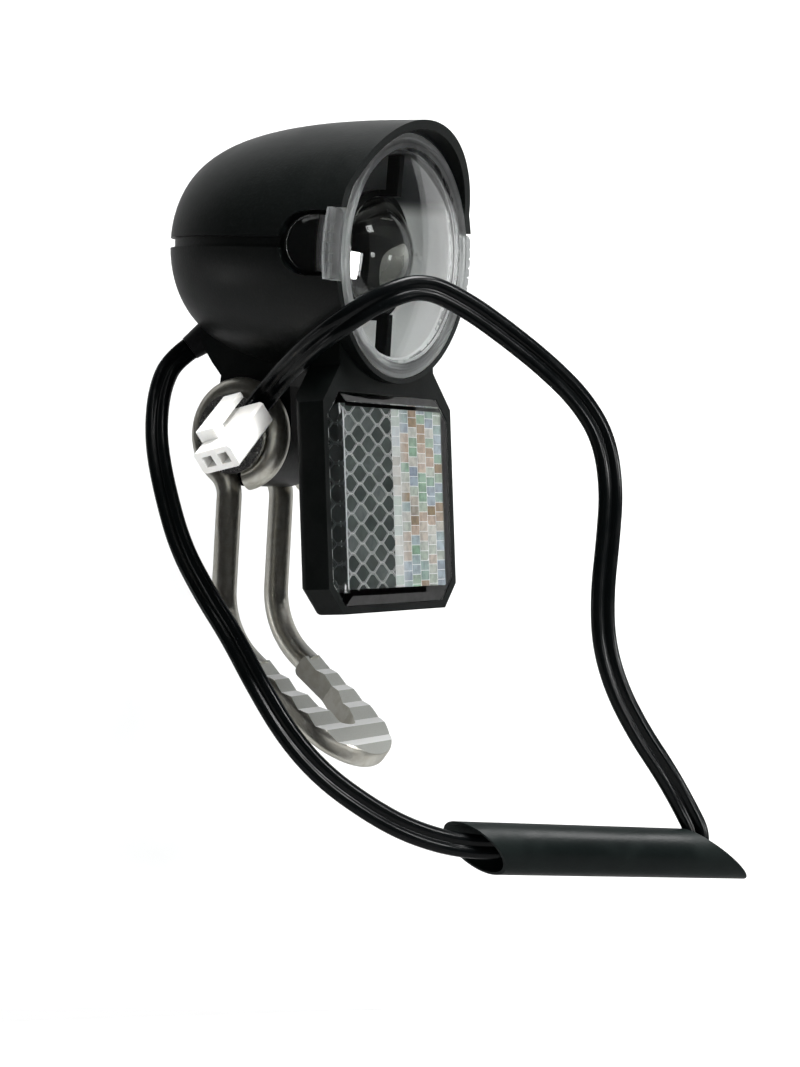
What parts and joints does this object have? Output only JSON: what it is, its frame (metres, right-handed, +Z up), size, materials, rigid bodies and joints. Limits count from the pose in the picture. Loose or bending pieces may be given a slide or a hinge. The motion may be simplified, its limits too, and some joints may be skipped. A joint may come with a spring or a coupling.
{
  "type": "bicycle headlight",
  "caption": "Round bicycle headlight with a visor and a clear reflector under it, pivoted on a forked wire bracket, with its cable, sleeve and plug.",
  "frame": {"origin": "centre of the round end of the slot in the bracket's foot, on the foot's plain face", "axes": "+Z up as pictured, the lamp shines along -Y, +X to the lamp's left hand side seen from behind"},
  "size_m": [0.0643, 0.11, 0.1506],
  "materials": {
    "bracket_wire": "polished stainless wire",
    "pivot_bolt": "polished",
    "pivot_nut": "plated",
    "pivot_cup_washers": "polished",
    "lamp_shell": "fine grained",
    "front_lens": "clear polycarbonate",
    "lens_seal": "matte",
    "reflector_bowl": "metallised",
    "condenser_optic": "clear",
    "optic_bridge": "dark",
    "led": "clear over a yellow die",
    "led_board": "white solder mask",
    "heat_sink": "plain",
    "heat_sink_screws": "zinc plated",
    "driver_board": "solder mask",
    "driver_screws": "zinc plated",
    "driver_coil": "ferrite",
    "driver_capacitor": "sleeved can",
    "led_leads": "insulated wire",
    "inner_leads": "insulated wire",
    "cable_gland": "satin",
    "reflector_carrier": "satin",
    "reflector_lens": "clear prismatic",
    "reflector_backing": "white sheet",
    "carrier_screws": "zinc plated",
    "cable": "semi-gloss twin cable",
    "heat_shrink_sleeve": "satin",
    "plug_housing": "natural nylon",
    "plug_terminals": "tinned"
  },
  "bodies": {
    "bracket": {"bracket_wire": "bracket_wire", "pivot_bolt": "pivot_bolt", "pivot_nut": "pivot_nut", "pivot_cup_washers": "pivot_cup_washers"},
    "head": {"lamp_shell": "lamp_shell", "front_lens": "front_lens", "lens_seal": "lens_seal", "reflector_bowl": "reflector_bowl", "condenser_optic": "condenser_optic", "optic_bridge": "optic_bridge", "led": "led", "led_board": "led_board", "heat_sink": "heat_sink", "heat_sink_screws": "heat_sink_screws", "driver_board": "driver_board", "driver_screws": "driver_screws", "driver_coil": "driver_coil", "driver_capacitor": "driver_capacitor", "led_leads": "led_leads", "inner_leads": "inner_leads", "cable_gland": "cable_gland", "reflector_carrier": "reflector_carrier", "reflector_lens": "reflector_lens", "reflector_backing": "reflector_backing", "carrier_screws": "carrier_screws", "cable": "cable", "plug_housing": "plug_housing", "plug_terminals": "plug_terminals"},
    "sleeve": {"heat_shrink_sleeve": "heat_shrink_sleeve"}
  },
  "joints": [
    {"name": "head_tilt", "type": "hinge", "parent": "bracket", "child": "head", "pos_m": [0, 0.01291, 0.05926], "axis": [-1, 0, 0], "range_deg": [-25, 65]},
    {"name": "sleeve_slide", "type": "slide", "parent": "head", "child": "sleeve", "axis": [-0.5149, 0.8554, 0.0574], "range_m": [0, 0.006]}
  ]
}
